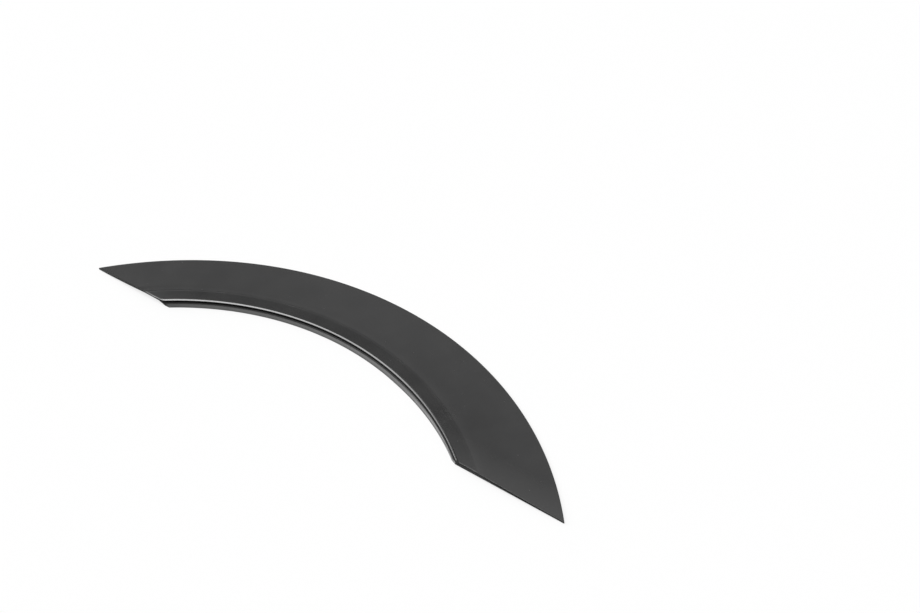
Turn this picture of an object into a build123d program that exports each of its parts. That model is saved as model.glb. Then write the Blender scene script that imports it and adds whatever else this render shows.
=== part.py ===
"""Wheel arch trim: one black plastic moulding that frames a front wheel opening of a car.

It lies face up. A broad crowned face falls from a soft crease round the wheel opening to a thin outer rim.
Inside the crease a shallow band runs to a lip with a sloping top, and below the lip a shadow channel
parts it from a flared flange. Both ends are cut off along one line, with a slight bow.
"""

from build123d import *

import os
from math import acos, cos, radians, sin, sqrt, tan

# Driving dimensions, in millimetres and degrees

# Outline seen from above: the wheel opening, how far the arch rises over its cut ends, and the face round it
opening_radius = 403.0
arch_rise = 86.3
crown_breadth = 101.0
opening_shift_x = -18.0
opening_shift_y = 9.7
end_bow = 1.8

# Moulded sheet and the outer rim
sheet = 3.0
rim_land = 3.0
rim_round = 0.8

# Crowned face, from the rim over the shoulder to the slightly hollow land that turns up into the crease
shoulder_width = 22.0
shoulder_height = 4.75
crease_height = 8.7
crease_land = 10.0
crease_slope = 4.6
crease_hollow = 0.08
crease_round = 12.0

# Shallow band between the crease and the lip, a small riser below the crease
band_width = 22.7
riser_run = 2.4
riser_drop = 0.35
riser_round = 12.0
band_fall = 0.6
band_fillet = 0.8

# Lip round the wheel opening, with a sloping top and an undercut nose
lip_rise = 1.75
lip_width = 2.8
lip_depth = 3.3
lip_slope = 20.0
lip_back = 42.0
lip_crest_round = 0.9
lip_nose_round = 0.4

# Shadow channel under the lip and the flange that flares out below it
channel_depth = 3.0
channel_gap = 1.2
channel_round = 0.4
shelf_width = 3.0
flange_reach = 4.9
flange_hollow = 0.2
toe_height = 0.8
toe_land = 4.0

# Trimming of the right end, along which the flange and the lip narrow, and the flange's corner cut off there
trim_length = 155.0
flange_trim_depth = 3.9
lip_trim_depth = 1.2
corner_length = 4.0
corner_depth = 2.0

# How far a cutting body stands past the wall that it cuts
overcut = 5.0

# Places that follow from the dimensions

rim_radius = opening_radius + opening_shift_y + crown_breadth
end_cut = opening_radius + opening_shift_y - arch_rise
rim_centre_y = -(rim_radius + end_cut - end_bow) / 2
cut_y = rim_centre_y + end_cut
rim_centre = (0, rim_centre_y)
opening_centre = (opening_shift_x, rim_centre_y + opening_shift_y)
opening_plane = Plane(origin=(*opening_centre, 0), x_dir=(1, 0, 0), z_dir=(0, -1, 0))
opening_axis = Axis((*opening_centre, 0), (0, 0, 1))

shoulder_radius = rim_radius - shoulder_width
crease_radius = opening_radius + band_width
join_radius = crease_radius + crease_land
join_height = crease_height - crease_land * tan(radians(crease_slope))
band_outer_height = crease_height - riser_drop
band_inner_height = band_outer_height - band_fall
lip_height = band_inner_height + lip_rise
channel_root = opening_radius + channel_depth
channel_roof = lip_height - lip_depth
flange_height = channel_roof - channel_gap
toe_radius = opening_radius - flange_reach

# Corners of the ring's section as (radius, height), from the flange's foot over the lip to the join with the face

toe_back = (toe_radius + toe_land, 0)
toe_foot = (toe_radius, 0)
toe_top = (toe_radius, toe_height)
flange_top = (channel_root - shelf_width, flange_height)
channel_foot = (channel_root, flange_height)
channel_top = (channel_root, channel_roof)
nose = (opening_radius, lip_height - lip_width * tan(radians(lip_slope)))
lip_crest = (opening_radius + lip_width, lip_height)
lip_back_foot = (opening_radius + lip_width + lip_rise / tan(radians(lip_back)), band_inner_height)
riser_foot = (crease_radius - riser_run, band_outer_height)
crease = (crease_radius, crease_height)
join_top = (join_radius, join_height)
join_foot = (join_radius, join_height - sheet)
crease_under = (crease_radius, crease_height - sheet)
flange_back = (channel_root + sheet, band_inner_height - sheet)
rounded_corners = [
    (flange_top, channel_round),
    (channel_foot, channel_round),
    (channel_top, channel_round),
    (nose, lip_nose_round),
    (lip_crest, lip_crest_round),
    (lip_back_foot, band_fillet),
    (riser_foot, riser_round),
    (crease, crease_round),
]

# Points of the end cuts and of the trimmed right end, seen from above


def round_opening(radius, turn):
    """A point at a radius and a turn from the crown round the wheel opening."""
    return Vector(opening_centre[0] + radius * sin(turn), opening_centre[1] + radius * cos(turn))


def on_cut(radius, side):
    """Where a circle round the wheel opening meets the end cut, left (-1) or right (1)."""
    return round_opening(radius, side * acos((cut_y - opening_centre[1]) / radius))


tip_x = sqrt(rim_radius**2 - end_cut**2)
end_edges = [
    (Vector(-tip_x, cut_y), on_cut(toe_radius, -1)),
    (on_cut(toe_radius, 1), Vector(tip_x, cut_y)),
]
toe_turn = acos((cut_y - opening_centre[1]) / toe_radius)
trim_turn = toe_turn - trim_length / toe_radius
trims = [
    (toe_radius, flange_trim_depth, -overcut, channel_roof),
    (opening_radius, lip_trim_depth, channel_roof, lip_height + overcut),
]
corner_radius = toe_radius + flange_trim_depth
corner_start = round_opening(corner_radius, toe_turn - corner_length / toe_radius)
corner_end = on_cut(corner_radius + corner_depth, 1)

# Crowned face: a dish between the rim's circle and the ring's circle, which has another centre

with BuildPart() as dish:
    with BuildSketch():
        with Locations(rim_centre):
            Circle(rim_radius)
    extrude(amount=sheet)
    with BuildSketch(Plane.XY.offset(sheet)):
        with Locations(rim_centre):
            Circle(rim_radius)
    with BuildSketch(Plane.XY.offset(shoulder_height)):
        with Locations(rim_centre):
            Circle(shoulder_radius)
    with BuildSketch(Plane.XY.offset(join_height)):
        with Locations(opening_centre):
            Circle(join_radius)
    loft()
    rim_edge = dish.edges().filter_by(GeomType.CIRCLE).filter_by_position(Axis.Z, sheet, sheet)
    fillet(rim_edge, radius=min(rim_round, sheet / 2))

# Hollow under the face, which leaves a sheet and a land along the rim

with BuildPart() as hollow:
    with BuildSketch():
        with Locations(rim_centre):
            Circle(rim_radius - rim_land)
    with BuildSketch(Plane.XY.offset(shoulder_height - sheet)):
        with Locations(rim_centre):
            Circle(shoulder_radius)
    with BuildSketch(Plane.XY.offset(join_height - sheet)):
        with Locations(opening_centre):
            Circle(join_radius)
    loft()

# Trim: the hollow dish, the ring of crease, band, lip and flange turned inside it, and the cut ends

with BuildPart() as wheel_arch_trim:
    add(dish.part)
    add(hollow.part, mode=Mode.SUBTRACT)
    with BuildSketch(Plane.XY.offset(-overcut)):
        with Locations(opening_centre):
            Circle(join_radius)
    extrude(amount=join_height + 2 * overcut, mode=Mode.SUBTRACT)
    with BuildSketch(opening_plane) as section:
        with BuildLine():
            Polyline(toe_back, toe_foot, toe_top)
            SagittaArc(toe_top, flange_top, -flange_hollow)
            Polyline(
                flange_top,
                channel_foot,
                channel_top,
                nose,
                lip_crest,
                lip_back_foot,
                riser_foot,
                crease,
            )
            SagittaArc(crease, join_top, -crease_hollow)
            Polyline(join_top, join_foot, crease_under, flange_back, toe_back)
        make_face()
        for corner, rounding in rounded_corners:
            fillet(section.vertices().sort_by_distance(corner)[0], radius=rounding)
    revolve(axis=opening_axis)
    with BuildSketch(Plane.XY.offset(-overcut)):
        with BuildLine():
            far_x = rim_radius + overcut
            far_y = rim_centre_y - rim_radius - overcut
            Line((-far_x, cut_y), end_edges[0][0])
            for start, finish in end_edges:
                ThreePointArc(start, (start + finish) / 2 - Vector(0, end_bow), finish)
            Line(end_edges[0][1], end_edges[1][0])
            Polyline(
                end_edges[1][1],
                (far_x, cut_y),
                (far_x, far_y),
                (-far_x, far_y),
                (-far_x, cut_y),
            )
        make_face()
    extrude(amount=lip_height + 2 * overcut, mode=Mode.SUBTRACT)
    for radius, depth, low, high in trims:
        trim_start = round_opening(radius, trim_turn)
        trim_middle = round_opening(radius + depth / 2, (trim_turn + toe_turn) / 2)
        trim_end = on_cut(radius + depth, 1)
        along = (trim_end - trim_middle).normalized() * overcut
        inward = along.rotate(Axis.Z, -90)
        with BuildSketch(Plane.XY.offset(low)):
            with BuildLine():
                ThreePointArc(trim_start, trim_middle, trim_end)
                Polyline(
                    trim_end,
                    trim_end + along,
                    trim_end + along + inward,
                    round_opening(radius - overcut, trim_turn),
                    trim_start,
                )
            make_face()
        extrude(amount=high - low, mode=Mode.SUBTRACT)
    with BuildSketch(Plane.XY.offset(-overcut)):
        with BuildLine():
            along = (corner_end - corner_start).normalized() * overcut
            inward = along.rotate(Axis.Z, -90)
            Polyline(
                corner_start - along,
                corner_end + along,
                corner_end + along + inward,
                corner_start - along + inward,
                close=True,
            )
        make_face()
    extrude(amount=overcut + channel_roof, mode=Mode.SUBTRACT)

wheel_arch_trim.part.label = "wheel_arch_trim"
os.makedirs("parts", exist_ok=True)
export_step(wheel_arch_trim.part, "parts/wheel_arch_trim.step")
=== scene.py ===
from math import acos, cos, hypot, pi, radians, sin, tan

import bpy
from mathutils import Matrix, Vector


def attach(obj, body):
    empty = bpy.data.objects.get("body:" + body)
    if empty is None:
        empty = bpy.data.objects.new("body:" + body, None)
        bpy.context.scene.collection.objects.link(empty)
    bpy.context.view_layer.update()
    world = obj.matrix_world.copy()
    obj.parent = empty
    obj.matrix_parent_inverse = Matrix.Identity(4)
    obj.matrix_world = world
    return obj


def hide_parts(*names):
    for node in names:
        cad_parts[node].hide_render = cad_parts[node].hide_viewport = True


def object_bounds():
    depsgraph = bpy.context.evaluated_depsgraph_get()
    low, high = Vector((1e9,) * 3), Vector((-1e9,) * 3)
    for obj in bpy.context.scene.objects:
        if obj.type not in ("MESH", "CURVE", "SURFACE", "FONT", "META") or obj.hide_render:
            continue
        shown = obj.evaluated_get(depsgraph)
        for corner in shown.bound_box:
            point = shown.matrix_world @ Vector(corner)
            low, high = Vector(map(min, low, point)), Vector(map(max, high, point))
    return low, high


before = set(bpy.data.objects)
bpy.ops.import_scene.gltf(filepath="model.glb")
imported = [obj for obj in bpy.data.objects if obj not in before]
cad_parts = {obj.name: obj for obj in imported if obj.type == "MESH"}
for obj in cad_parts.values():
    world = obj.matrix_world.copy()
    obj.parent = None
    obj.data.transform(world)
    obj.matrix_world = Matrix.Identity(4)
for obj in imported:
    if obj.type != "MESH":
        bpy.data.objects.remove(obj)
cad_low, cad_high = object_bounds()

# Wheel arch trim: one moulding of black, finely grained plastic sheet that frames a car's wheel opening.
# Its section has a crowned face, a shallow band, a lip with a sloping top and a flange below the lip. It
# runs round the opening, is cut off along one line at both ends, and lies with its back on the car's wing.

mm = 0.001

opening_radius = 403.0 * mm
opening_centre = (-18.0 * mm, -409.45 * mm)
rim_radius = 513.7 * mm
rim_centre = (0.0, cad_high.y - rim_radius)
tip_x = cad_high.x
end_bow = 1.8 * mm
cut_y = cad_low.y + end_bow

sheet = 3.0 * mm
rim_land = 3.0 * mm
rim_round = 0.8 * mm
shoulder_width = 22.0 * mm
shoulder_height = 4.75 * mm
shoulder_share = 0.28
band_width = 22.7 * mm
crease_height = 8.7 * mm
crease_round = 12.0 * mm
crease_land = 10.0 * mm
crease_slope = radians(4.6)
crease_hollow = 0.08 * mm
riser_run = 2.4 * mm
band_outer_height = 8.35 * mm
band_inner_height = 7.75 * mm
band_round = 0.8 * mm
shoulder_radius = rim_radius - shoulder_width
crease_radius = opening_radius + band_width
join_radius = crease_radius + crease_land
join_height = crease_height - crease_land * tan(crease_slope)

lip_height = 9.5 * mm
lip_width = 2.8 * mm
lip_crest_round = 1.0 * mm
lip_slope = radians(20)
lip_back = radians(42)
lip_nose_round = 0.4 * mm
lip_gloss = 1
channel_depth = 3.0 * mm
channel_roof = 6.2 * mm
channel_round = 0.4 * mm
shelf_width = 3.0 * mm
flange_reach = 4.9 * mm
flange_height = 5.0 * mm
flange_hollow = 0.2 * mm
flange_gloss = 0.6
toe_height = 0.8 * mm
toe_land = 4.0 * mm
edge_round = 0.3 * mm
lip_crest_radius = opening_radius + lip_width
channel_root = opening_radius + channel_depth
toe_radius = opening_radius - flange_reach

trim_length = 155.0 * mm
flange_trim_depth = 3.9 * mm
lip_trim_depth = 1.2 * mm
corner_length = 4.0 * mm
corner_depth = 2.0 * mm
trimmed_remnant = 0.02
end_round = 0.4 * mm
band_end_round = 1.0 * mm

stations = 260
end_round_steps = 3
face_steps = 20
land_steps = 8
flange_steps = 10
ledge_steps = 2
under_steps = 12


def through_circles(share, rim, shoulder, join):
    """Value at a share of the way from rim to ring, on the smooth curve through three given values."""
    at_rim = (share - shoulder_share) * (share - 1) / shoulder_share
    at_shoulder = share * (share - 1) / (shoulder_share * (shoulder_share - 1))
    at_join = share * (share - shoulder_share) / (1 - shoulder_share)
    return rim * at_rim + shoulder * at_shoulder + join * at_join


def face_line(share, rim, shoulder, join):
    """A line along the face: its radius, its height, how near its centre is to the rim's, its gloss."""
    radius = through_circles(share, rim[0], shoulder[0], join[0])
    height = through_circles(share, rim[1], shoulder[1], join[1])
    return radius, height, 1 - through_circles(share, 0, 0, 1), 0


def rounded(before, corner, after, radius, steps=5):
    """Points of a corner rounded off between two neighbours, with a guard point on each side of it."""
    longest_share = 0.45
    guard_gap = 0.1 * mm
    to_before = (before[0] - corner[0], before[1] - corner[1])
    to_after = (after[0] - corner[0], after[1] - corner[1])
    before_reach = hypot(*to_before)
    after_reach = hypot(*to_after)
    across = to_before[0] * to_after[0] + to_before[1] * to_after[1]
    half = acos(max(-1, min(1, across / (before_reach * after_reach)))) / 2
    run = min(radius / tan(half), longest_share * before_reach, longest_share * after_reach)
    guard = min(1.5 * run, run + guard_gap)
    pulls = [(guard / before_reach, 0)]
    for step in range(steps + 1):
        share = step / steps
        pulls.append(((1 - share) ** 2 * run / before_reach, share**2 * run / after_reach))
    pulls.append((0, guard / after_reach))
    points = []
    for to_first, to_last in pulls:
        stay = 1 - to_first - to_last
        point_radius = corner[0] * stay + before[0] * to_first + after[0] * to_last
        point_height = corner[1] * stay + before[1] * to_first + after[1] * to_last
        points.append((point_radius, point_height, corner[2], corner[3]))
    return points


# The section as a closed outline, from the rim's foot over the top to the flange and back under the sheet.
# A point is a radius, a height, how near its circle's centre is to the rim's, and its gloss.

rim_foot = (rim_radius, 0, 1, 0)
rim_top = (rim_radius, sheet, 1, 0)
rim_back = (rim_radius - rim_land, 0, 1, 0)
face_lines = [
    face_line(
        step / face_steps,
        (rim_radius, sheet),
        (shoulder_radius, shoulder_height),
        (join_radius, join_height),
    )
    for step in range(1, face_steps + 1)
]
land_lines = []
for step in range(1, land_steps):
    share = step / land_steps
    sag = 4 * crease_hollow * share * (1 - share)
    land_lines.append((
        join_radius - share * crease_land,
        join_height + share * (crease_height - join_height) - sag,
        0,
        0,
    ))
crease = (crease_radius, crease_height, 0, 0)
riser_foot = (crease_radius - riser_run, band_outer_height, 0, 0)
lip_rise = lip_height - band_inner_height
lip_back_foot = (lip_crest_radius + lip_rise / tan(lip_back), band_inner_height, 0, 0)
lip_crest = (lip_crest_radius, lip_height, 0, lip_gloss)
nose_height = lip_height - (lip_crest_radius - opening_radius) * tan(lip_slope)
nose = (opening_radius, nose_height, 0, lip_gloss)
channel_top = (channel_root, channel_roof, 0, 0)
channel_foot = (channel_root, flange_height, 0, 0)
flange_top = (channel_root - shelf_width, flange_height, 0, flange_gloss)
toe_top = (toe_radius, toe_height, 0, flange_gloss)
flange_chord = (toe_top[0] - flange_top[0], toe_top[1] - flange_top[1])
flange_lines = []
for step in range(1, flange_steps):
    share = step / flange_steps
    sag = 4 * flange_hollow * share * (1 - share) / hypot(*flange_chord)
    flange_lines.append((
        flange_top[0] + share * flange_chord[0] - sag * flange_chord[1],
        flange_top[1] + share * flange_chord[1] + sag * flange_chord[0],
        0,
        flange_gloss,
    ))
toe_foot = (toe_radius, 0, 0, 0)
toe_back = (toe_radius + toe_land, 0, 0, 0)
flange_back = (channel_root + sheet, band_inner_height - sheet, 0, 0)
crease_under = (crease_radius, crease_height - sheet, 0, 0)
under_lines = [
    face_line(
        1 - step / under_steps,
        (rim_radius - rim_land, 0),
        (shoulder_radius, shoulder_height - sheet),
        (join_radius, join_height - sheet),
    )
    for step in range(under_steps)
]

points_of_nose = rounded(lip_crest, nose, channel_top, lip_nose_round)
points_of_ledge = flange_lines[:ledge_steps]
points_of_channel = [
    *rounded(nose, channel_top, channel_foot, channel_round),
    *rounded(channel_top, channel_foot, flange_top, channel_round),
    *rounded(channel_foot, flange_top, flange_lines[0], channel_round),
    *points_of_ledge,
]
points_of_band = [
    *rounded(crease, riser_foot, lip_back_foot, crease_round),
    *rounded(riser_foot, lip_back_foot, lip_crest, band_round),
    *rounded(lip_back_foot, lip_crest, nose, lip_crest_round),
]
outline = [
    *rounded(rim_back, rim_foot, rim_top, edge_round),
    *rounded(rim_foot, rim_top, face_lines[0], rim_round),
    *face_lines,
    *land_lines[:-1],
    *rounded(land_lines[-2], crease, riser_foot, crease_round),
    *points_of_band,
    *points_of_nose,
    *points_of_channel,
    *flange_lines[ledge_steps:],
    *rounded(flange_lines[-1], toe_top, toe_foot, edge_round),
    *rounded(toe_top, toe_foot, toe_back, edge_round),
    *rounded(toe_foot, toe_back, flange_back, edge_round),
    *rounded(toe_back, flange_back, crease_under, channel_round),
    crease_under,
    *under_lines,
    *rounded(under_lines[-1], rim_back, rim_foot, edge_round),
]

section_mesh = bpy.data.meshes.new("trim_section")
section_edges = [(number, (number + 1) % len(outline)) for number in range(len(outline))]
section_mesh.from_pydata([(radius, height, 0) for radius, height, _, _ in outline], section_edges, [])
drawn = section_mesh.attributes
for name in ("rim_share", "nose_share", "band_share", "ledge_share", "channel_shade", "gloss"):
    drawn.new(name, "FLOAT", "POINT")
drawn.new("outward", "FLOAT_VECTOR", "POINT")
for number, point in enumerate(outline):
    before = outline[number - 1]
    after = outline[(number + 1) % len(outline)]
    along = (after[0] - before[0], after[1] - before[1])
    length = hypot(*along)
    drawn["rim_share"].data[number].value = point[2]
    drawn["nose_share"].data[number].value = points_of_nose.count(point)
    drawn["band_share"].data[number].value = points_of_band.count(point)
    drawn["ledge_share"].data[number].value = points_of_ledge.count(point)
    drawn["channel_shade"].data[number].value = points_of_channel.count(point)
    drawn["gloss"].data[number].value = point[3]
    drawn["outward"].data[number].vector = (along[1] / length, -along[0] / length, 0)


class Wire:
    """One output of a node tree, so that arithmetic on outputs is written as plain arithmetic."""

    def __init__(self, socket):
        self.socket = socket

    def node(self, kind, settings=None, inputs=None, output=0):
        """A new node in the same tree, with its settings made first and then its values and links."""
        tree = self.socket.id_data
        made = tree.nodes.new(kind)
        for name, value in (settings or {}).items():
            setattr(made, name, value)
        for name, value in (inputs or {}).items():
            if isinstance(value, Wire):
                tree.links.new(value.socket, made.inputs[name])
            else:
                made.inputs[name].default_value = value
        return Wire(made.outputs[output])

    def math(self, operation, *others):
        """A sum on this value and any others."""
        return self.node("ShaderNodeMath", {"operation": operation}, dict(enumerate((self, *others))))

    def clamped(self):
        """This value, held between 0 and 1."""
        return self.node("ShaderNodeClamp", {}, {"Value": self})

    def __add__(self, other):
        return self.math("ADD", other)

    def __sub__(self, other):
        return self.math("SUBTRACT", other)

    def __rsub__(self, other):
        return self.node("ShaderNodeMath", {"operation": "SUBTRACT"}, {0: other, 1: self})

    def __mul__(self, other):
        return self.math("MULTIPLY", other)

    def __truediv__(self, other):
        return self.math("DIVIDE", other)

    __radd__ = __add__
    __rmul__ = __mul__


# The rule that bends the section round the arch: each point follows its own circle between the end cuts

bend = bpy.data.node_groups.new("section_round_the_arch", "GeometryNodeTree")
toe_half_turn = acos((cut_y - opening_centre[1]) / toe_radius)
toe_half_chord = toe_radius * sin(toe_half_turn)
toe_length = 2 * toe_half_turn * toe_radius
bend_sizes = {
    "Stations": ("NodeSocketInt", stations),
    "End rounding steps": ("NodeSocketInt", end_round_steps),
    "Opening centre x": ("NodeSocketFloat", opening_centre[0]),
    "Opening centre y": ("NodeSocketFloat", opening_centre[1]),
    "Rim centre x": ("NodeSocketFloat", rim_centre[0]),
    "Rim centre y": ("NodeSocketFloat", rim_centre[1]),
    "Cut line y": ("NodeSocketFloat", cut_y),
    "Cut bow": ("NodeSocketFloat", end_bow),
    "Tip reach": ("NodeSocketFloat", tip_x),
    "Left toe x": ("NodeSocketFloat", opening_centre[0] - toe_half_chord),
    "Right toe x": ("NodeSocketFloat", opening_centre[0] + toe_half_chord),
    "End rounding": ("NodeSocketFloat", end_round),
    "Band end rounding": ("NodeSocketFloat", band_end_round),
    "Crease radius": ("NodeSocketFloat", crease_radius),
    "Lip crest radius": ("NodeSocketFloat", lip_crest_radius),
    "Toe radius": ("NodeSocketFloat", toe_radius),
    "Trim share": ("NodeSocketFloat", trim_length / toe_length),
    "Flange trim": ("NodeSocketFloat", flange_trim_depth),
    "Trimmed remnant": ("NodeSocketFloat", trimmed_remnant),
    "Lip trim": ("NodeSocketFloat", lip_trim_depth),
    "Lip slope": ("NodeSocketFloat", tan(lip_slope)),
    "Corner share": ("NodeSocketFloat", corner_length / toe_length),
    "Corner depth": ("NodeSocketFloat", corner_depth),
    "Plastic": ("NodeSocketMaterial", None),
}
bend.interface.new_socket("Geometry", in_out="INPUT", socket_type="NodeSocketGeometry")
for name, (kind, _) in bend_sizes.items():
    bend.interface.new_socket(name, in_out="INPUT", socket_type=kind)
bend.interface.new_socket("Geometry", in_out="OUTPUT", socket_type="NodeSocketGeometry")
bend_in = bend.nodes.new("NodeGroupInput")
size = {socket.name: Wire(socket) for socket in bend_in.outputs if socket.name}


def read(name, data_type="FLOAT"):
    """A value that the section's points carry along."""
    return size["Geometry"].node("GeometryNodeInputNamedAttribute", {"data_type": data_type}, {"Name": name})


def stored(geometry, name, value, data_type="FLOAT"):
    """Geometry whose points carry one more named value."""
    return geometry.node(
        "GeometryNodeStoreNamedAttribute",
        {"data_type": data_type, "domain": "POINT"},
        {"Geometry": geometry, "Name": name, "Value": value},
    )


def part_of(vector, axis):
    """One part of a vector, X, Y or Z."""
    return vector.node("ShaderNodeSeparateXYZ", {}, {0: vector}, axis)


section = size["Geometry"].node("GeometryNodeMeshToCurve", {}, {"Mesh": size["Geometry"]})
section = stored(section, "drawn_at", section.node("GeometryNodeInputPosition"), "FLOAT_VECTOR")
path = section.node("GeometryNodeCurvePrimitiveLine", {}, {"End": (1.0, 0.0, 0.0)})
path = section.node("GeometryNodeResampleCurve", {}, {"Curve": path, "Count": size["Stations"]})
path = stored(path, "station", section.node("GeometryNodeInputIndex"))
bar = section.node(
    "GeometryNodeCurveToMesh", {}, {"Curve": path, "Profile Curve": section, "Fill Caps": True}
)

station = read("station")
rim_share = read("rim_share")
nose_share = read("nose_share")
band_share = read("band_share")
ledge_share = read("ledge_share")
drawn_at = read("drawn_at", "FLOAT_VECTOR")
outward = read("outward", "FLOAT_VECTOR")
drawn_radius = part_of(drawn_at, "X")
drawn_height = part_of(drawn_at, "Y")

end_steps = size["End rounding steps"]
last_station = size["Stations"] - 1
from_end = station.math("MINIMUM", last_station - station)
end_turn = (from_end / end_steps).clamped() * (pi / 2)
share = ((station - end_steps) / (last_station - 2 * end_steps)).clamped()
left_band = band_share * share.math("LESS_THAN", 0.5)
end_rounding = size["End rounding"] + left_band * (size["Band end rounding"] - size["End rounding"])
inset = end_rounding * (1 - end_turn.math("SINE"))
setback = end_rounding * (1 - end_turn.math("COSINE"))

# Towards the right end the flange and the nose of the lip are trimmed back, and the flange loses a corner.
# What is trimmed off the flange is pressed to a thin remnant along the new edge, so the mesh stays closed.

trimmed = ((share - 1 + size["Trim share"]) / size["Trim share"]).clamped()
cornered = ((share - 1) / size["Corner share"] + 1).clamped()
trimmed_radius = size["Toe radius"] + size["Flange trim"] * trimmed + size["Corner depth"] * cornered
nose_back = size["Lip trim"] * trimmed * nose_share
untrimmed = drawn_radius - inset * part_of(outward, "X") + nose_back
remnant = size["Trimmed remnant"] * (untrimmed - size["Toe radius"])
radius = untrimmed.math("MAXIMUM", trimmed_radius + remnant)
height = drawn_height - inset * part_of(outward, "Y") + nose_back * size["Lip slope"]
centre_x = size["Opening centre x"] + rim_share * (size["Rim centre x"] - size["Opening centre x"])
centre_y = size["Opening centre y"] + rim_share * (size["Rim centre y"] - size["Opening centre y"])

cut_rise = size["Cut line y"] - centre_y
half_chord = (radius * radius - cut_rise * cut_rise).math("SQRT")


def end_turn_at(chord_side, tip, toe):
    """Turn at which a line meets the bowed end cut between a tip and a toe of the flange."""
    along_cut = ((centre_x + chord_side - tip) / (toe - tip)).clamped()
    drop = 4 * size["Cut bow"] * along_cut * (1 - along_cut)
    return ((cut_rise - drop) / radius).math("ARCCOSINE")


left_turn = end_turn_at(-1 * half_chord, -1 * size["Tip reach"], size["Left toe x"])
right_turn = end_turn_at(half_chord, size["Tip reach"], size["Right toe x"])
inward = 1 - 2 * share.math("GREATER_THAN", 0.5)
turn = share * (left_turn + right_turn) - left_turn + inward * setback / radius
bent_at = bar.node(
    "ShaderNodeCombineXYZ",
    {},
    {
        "X": centre_x + radius * turn.math("SINE"),
        "Y": centre_y + radius * turn.math("COSINE"),
        "Z": height,
    },
)
moulding = bar.node("GeometryNodeSetPosition", {}, {"Geometry": bar, "Position": bent_at})

# What the plastic needs to know of each point, and the flat end faces cut into triangles

cut_face = from_end.math("LESS_THAN", 0.5)
on_rounding = from_end.math("LESS_THAN", end_steps + 0.5) - cut_face
near_lip = (size["Crease radius"] - drawn_radius) / (size["Crease radius"] - size["Lip crest radius"])
moulding = stored(moulding, "cut_face", cut_face)
# The rounding of the band's left end gets a painted highlight, which fades in towards the lip.
moulding = stored(moulding, "highlit_edge", left_band * on_rounding * near_lip.clamped())
# The channel under the lip gets painted shade, which near the right end is taken off the flange's ledge.
moulding = stored(moulding, "channel_shade", read("channel_shade") - ledge_share * (2 * trimmed).clamped())
quad_limit = 4.5
corners = moulding.node("GeometryNodeInputMeshFaceNeighbors", {}, {}, "Vertex Count")
moulding = moulding.node(
    "GeometryNodeSetShadeSmooth",
    {"domain": "FACE"},
    {"Geometry": moulding, "Shade Smooth": corners.math("LESS_THAN", quad_limit)},
)
moulding = moulding.node(
    "GeometryNodeTriangulate",
    {},
    {"Mesh": moulding, "Selection": corners.math("GREATER_THAN", quad_limit)},
)
for name in ("station", "rim_share", "nose_share", "ledge_share", "drawn_at", "outward"):
    moulding = moulding.node("GeometryNodeRemoveAttribute", {}, {"Geometry": moulding, "Name": name})
moulding = moulding.node("GeometryNodeRealizeInstances", {}, {"Geometry": moulding})
moulding = moulding.node(
    "GeometryNodeSetMaterial", {}, {"Geometry": moulding, "Material": size["Plastic"]}
)
bend_out = bend.nodes.new("NodeGroupOutput")
bend.links.new(moulding.socket, bend_out.inputs["Geometry"])

# Black plastic with a fine leather grain, glossier along the lip, and painted shade in the channel.
# A painted sheen makes it lighter by the right cut and at both ends of the band, a painted highlight
# runs along the band's left end, and it bears specks of dust and faint rub marks by the right end.

black = (0.0115, 0.0115, 0.0117, 1)
faded_black = (0.0165, 0.0165, 0.0165, 1)
painted_sheen_black = (0.032, 0.032, 0.032, 1)
channel_shade_and_cut_black = (0.005, 0.005, 0.005, 1)
sawn_grey = (0.03, 0.03, 0.03, 1)
painted_highlight_grey = (0.45, 0.45, 0.45, 1)
dust_grey = (0.16, 0.155, 0.15, 1)
satin_roughness = 0.26
cut_roughness = 0.45
shelter_roughness = 0.35
dust_roughness = 0.3
rub_roughness = 0.05
mottle_roughness = 0.05
gloss_smoothing = 0.08
grain_size = 0.9 * mm
grain_relief = 0.03 * mm
grain_strength = 0.5
fine_grain_size = 0.4 * grain_size
fine_grain_strength = 0.4
mottle_size = 45 * mm
mottle_detail = 4.0
mottle_range = (0.35, 0.65)
polish_size = 9 * mm
least_polish = 0.75
polish_waver = 0.5
sheen_reach = 42 * mm
highlight_strength = 0.8
saw_pitch = 1.4 * mm
saw_range = (0.45, 0.65)
saw_strength = 0.35
dust_spacing = 38 * mm
dust_radius = 0.55 * mm
dust_core = 0.4
dust_range = (0.5, 0.8)
dust_strength = 0.5
rub_place = (176 * mm, -40 * mm, 8 * mm)
rub_reach = 30 * mm
rub_core = 0.2
rub_size = 3.2 * mm
rub_range = (0.5, 0.75)
rub_strength = 0.05

plastic = bpy.data.materials.new("grained_black_plastic")
plastic.use_nodes = True
plastic_shader = plastic.node_tree.nodes["Principled BSDF"]
plastic_shader.inputs["IOR"].default_value = 1.5
plastic_shader.inputs["Coat IOR"].default_value = 1.6
plastic_shader.inputs["Coat Roughness"].default_value = 0.15
place_on_trim = Wire(plastic_shader.outputs[0]).node("ShaderNodeTexCoord", {}, {}, "Object")
x_on_trim = part_of(place_on_trim, "X")
y_on_trim = part_of(place_on_trim, "Y")


def carried(name):
    """A value that the trim's points carry."""
    return place_on_trim.node("ShaderNodeAttribute", {"attribute_name": name}, {}, "Fac")


def noise(feature_size, detail=2.0):
    """Cloudy values between 0 and 1 on the trim, with features of a given size."""
    return place_on_trim.node(
        "ShaderNodeTexNoise", {}, {"Vector": place_on_trim, "Scale": 1 / feature_size, "Detail": detail}
    )


def ramp(value, low, high):
    """0 below a low value, 1 above a high one, and straight in between."""
    return ((value - low) / (high - low)).clamped()


def blend(amount, colour, other):
    """A colour that changes into another with an amount."""
    return place_on_trim.node(
        "ShaderNodeMix", {"data_type": "RGBA"}, {"Factor": amount, "A": colour, "B": other}, "Result"
    )


cut_face = carried("cut_face")
channel_shade = carried("channel_shade")
highlit_edge = carried("highlit_edge")
gloss = carried("gloss").math("MAXIMUM", highlit_edge) * (1 - channel_shade) * (1 - cut_face)

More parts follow.
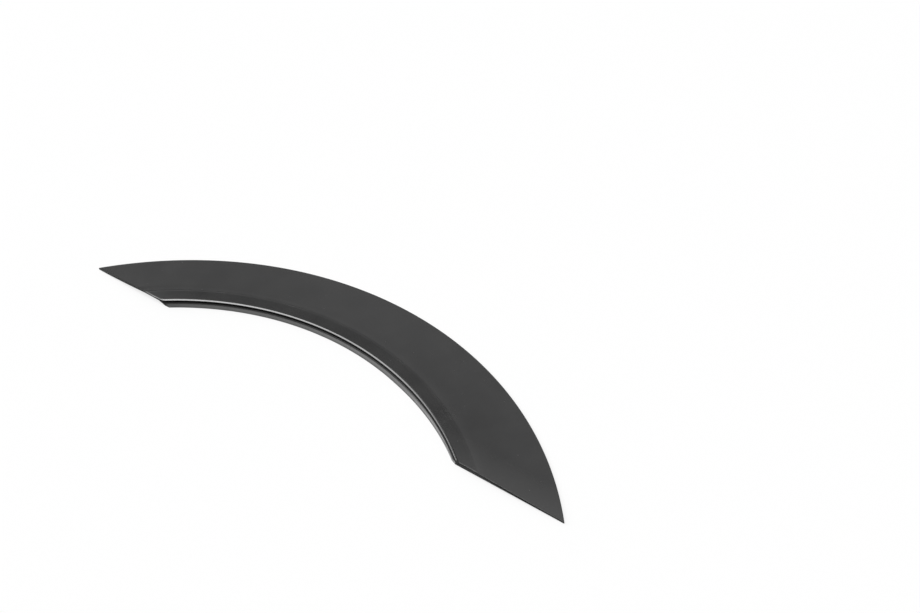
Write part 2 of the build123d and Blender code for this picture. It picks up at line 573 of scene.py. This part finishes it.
pebbles = place_on_trim.node(
    "ShaderNodeTexVoronoi", {"feature": "SMOOTH_F1"}, {"Vector": place_on_trim, "Scale": 1 / grain_size}
)
grain = (pebbles + fine_grain_strength * noise(fine_grain_size)) * (1 - gloss) * (1 - cut_face)
mottle = noise(mottle_size, mottle_detail)
saw_marks = ramp(noise(saw_pitch), *saw_range) * cut_face

dust_cells = place_on_trim.node(
    "ShaderNodeTexVoronoi",
    {"voronoi_dimensions": "2D"},
    {"Vector": place_on_trim, "Scale": 1 / dust_spacing},
)
dust_colour = Wire(dust_cells.socket.node.outputs["Color"])
dust_pick = dust_colour.node("ShaderNodeSeparateColor", {}, {"Color": dust_colour}, "Red")
dust_edge = dust_radius / dust_spacing
dust = (1 - ramp(dust_cells, dust_core * dust_edge, dust_edge)) * ramp(dust_pick, *dust_range)

from_rub = place_on_trim.node(
    "ShaderNodeVectorMath", {"operation": "DISTANCE"}, {0: place_on_trim, 1: rub_place}, "Value"
)
rubbed = (1 - ramp(from_rub, rub_core * rub_reach, rub_reach)) * ramp(noise(rub_size), *rub_range)

# Painted sheen: the face is painted lighter near the right cut, and the band is painted lighter near both
# cuts.
near_cut = 1 - ramp(y_on_trim, cut_y, cut_y + sheen_reach)
painted_sheen = near_cut * ramp(x_on_trim, 0, sheen_reach).math("MAXIMUM", carried("band_share"))

colour = blend(ramp(mottle, *mottle_range), black, faded_black)
colour = blend(painted_sheen, colour, painted_sheen_black)
# Painted shade: the channel under the lip is darkened to a deeper black, and the cut ends take the same deep
# black.
colour = blend(channel_shade.math("MAXIMUM", cut_face), colour, channel_shade_and_cut_black)
colour = blend(saw_strength * saw_marks, colour, sawn_grey)
# Painted highlight: pale grey along the rounding of the band's left end.
colour = blend(highlight_strength * highlit_edge, colour, painted_highlight_grey)
colour = blend(dust_strength * dust + rub_strength * rubbed, colour, dust_grey)
roughness = satin_roughness + mottle_roughness * (mottle - 0.5) - gloss_smoothing * gloss
roughness = roughness + dust_roughness * dust + rub_roughness * rubbed
roughness = roughness + cut_roughness * cut_face + shelter_roughness * channel_shade
polish = gloss * (least_polish + polish_waver * noise(polish_size))
bump = grain.node(
    "ShaderNodeBump", {}, {"Strength": grain_strength, "Distance": grain_relief, "Height": grain}, "Normal"
)
for socket_name, value in {
    "Base Color": colour,
    "Roughness": roughness,
    "Coat Weight": polish,
    "Normal": bump,
}.items():
    plastic.node_tree.links.new(value.socket, plastic_shader.inputs[socket_name])

trim = bpy.data.objects.new("wheel_arch_trim_moulding", section_mesh)
bpy.context.scene.collection.objects.link(trim)
bender = trim.modifiers.new("bend", "NODES")
bender.node_group = bend
for item in bend.interface.items_tree:
    if item.in_out == "INPUT" and item.name in bend_sizes:
        bender[item.identifier] = bend_sizes[item.name][1]
    if item.in_out == "INPUT" and item.name == "Plastic":
        bender[item.identifier] = plastic
bent = trim.evaluated_get(bpy.context.evaluated_depsgraph_get())
trim_mesh = bpy.data.meshes.new_from_object(bent)
trim.modifiers.remove(bender)
trim.data = trim_mesh

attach(trim, "root")
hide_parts("wheel_arch_trim")

# Floor: a wide sheet of white studio paper that the trim lies on, with no edge in view.
# It looks nearly white to the camera and in reflections, and takes the trim's shadow.

floor_half = 60.0
floor_drop = 0.2 * mm
paper_white = (0.85, 0.85, 0.85, 1)
paper_roughness = 0.9
paper_shine = 0.1
washed_out = 0.75

floor_mesh = bpy.data.meshes.new("floor")
floor_mesh.from_pydata(
    [
        (-floor_half, -floor_half, -floor_drop),
        (floor_half, -floor_half, -floor_drop),
        (floor_half, floor_half, -floor_drop),
        (-floor_half, floor_half, -floor_drop),
    ],
    [],
    [(0, 1, 2, 3)],
)
floor = bpy.data.objects.new("floor", floor_mesh)
bpy.context.scene.collection.objects.link(floor)

paper = bpy.data.materials.new("white_paper")
paper.use_nodes = True
paper_nodes = paper.node_tree.nodes
paper_shader = paper_nodes["Principled BSDF"]
paper_shader.inputs["Base Color"].default_value = paper_white
paper_shader.inputs["Roughness"].default_value = paper_roughness
paper_shader.inputs["Specular IOR Level"].default_value = paper_shine
plain_paper = Wire(paper_shader.outputs[0])
seen = plain_paper.node("ShaderNodeLightPath", {}, {}, "Is Camera Ray")
for ray in ("Is Glossy Ray", "Is Transmission Ray"):
    seen = seen.math("MAXIMUM", plain_paper.node("ShaderNodeLightPath", {}, {}, ray))
white = plain_paper.node("ShaderNodeEmission", {}, {"Color": (1, 1, 1, 1), "Strength": 1.0})
paper_mix = seen.node("ShaderNodeMixShader", {}, {0: seen * washed_out, 1: plain_paper, 2: white})
paper.node_tree.links.new(paper_mix.socket, paper_nodes["Material Output"].inputs["Surface"])
floor_mesh.materials.append(paper)

# Studio light: soft lamps, each a round glow in the sky. A large one hangs overhead, a row runs down the
# left side, weaker ones stand behind, and two faint ones close the room at the right and behind the camera.
# Each has a brightness, a height and a bearing in degrees, and a narrowness.

soft_lamps = {
    "overhead": (4.8, 80, 268, 20),
    "left of overhead": (1.7, 76, 267, 80),
    "high left": (2.0, 65, 266, 80),
    "left": (3.3, 54, 272, 80),
    "low left": (5.2, 25, 272, 40),
    "low left, nearer": (4.4, 20, 255, 40),
    "low front left": (2.0, 30, 235, 40),
    "front left": (2.1, 40, 217, 40),
    "front, to the left": (1.4, 48, 190, 40),
    "front": (1.1, 54, 164, 40),
    "far left wall": (2.9, 10, 298, 24),
    "behind the crown": (1.1, 37, 324, 80),
    "low behind": (1.6, 22, 345, 60),
    "behind": (1.2, 44, 350, 50),
    "high behind": (0.5, 53, 344, 100),
    "right wall": (0.5, 18, 85, 9),
    "wall behind the camera": (0.4, 14, 135, 12),
}
world = bpy.data.worlds.new("studio")
bpy.context.scene.world = world
world.use_nodes = True
backdrop = world.node_tree.nodes["Background"]
backdrop.inputs["Color"].default_value = (1, 1, 1, 1)
looking = Wire(backdrop.outputs[0]).node("ShaderNodeTexCoord", {}, {}, "Generated")
glow = 0
for brightness, lamp_height, bearing, narrowness in soft_lamps.values():
    level = cos(radians(lamp_height))
    toward = (level * sin(radians(bearing)), level * cos(radians(bearing)), sin(radians(lamp_height)))
    facing = looking.node(
        "ShaderNodeVectorMath", {"operation": "DOT_PRODUCT"}, {0: looking, 1: toward}, "Value"
    )
    glow = glow + brightness * (narrowness * (facing - 1)).math("EXPONENT")
world.node_tree.links.new(glow.socket, backdrop.inputs["Strength"])

# Camera: a longish lens that looks down on the trim from the front right, as in the photograph.
# It stands about one and a half metres above the floor.

camera = bpy.data.cameras.new("camera")
camera.lens = 60.0
camera.sensor_width = 36.0
camera_object = bpy.data.objects.new("camera", camera)
camera_object.location = (0.9805, -1.12105, 1.465)
camera_object.rotation_euler = (radians(46.8187), 0, radians(35.7307))
bpy.context.scene.collection.objects.link(camera_object)
bpy.context.scene.camera = camera_object
bpy.context.scene.view_settings.view_transform = "Standard"
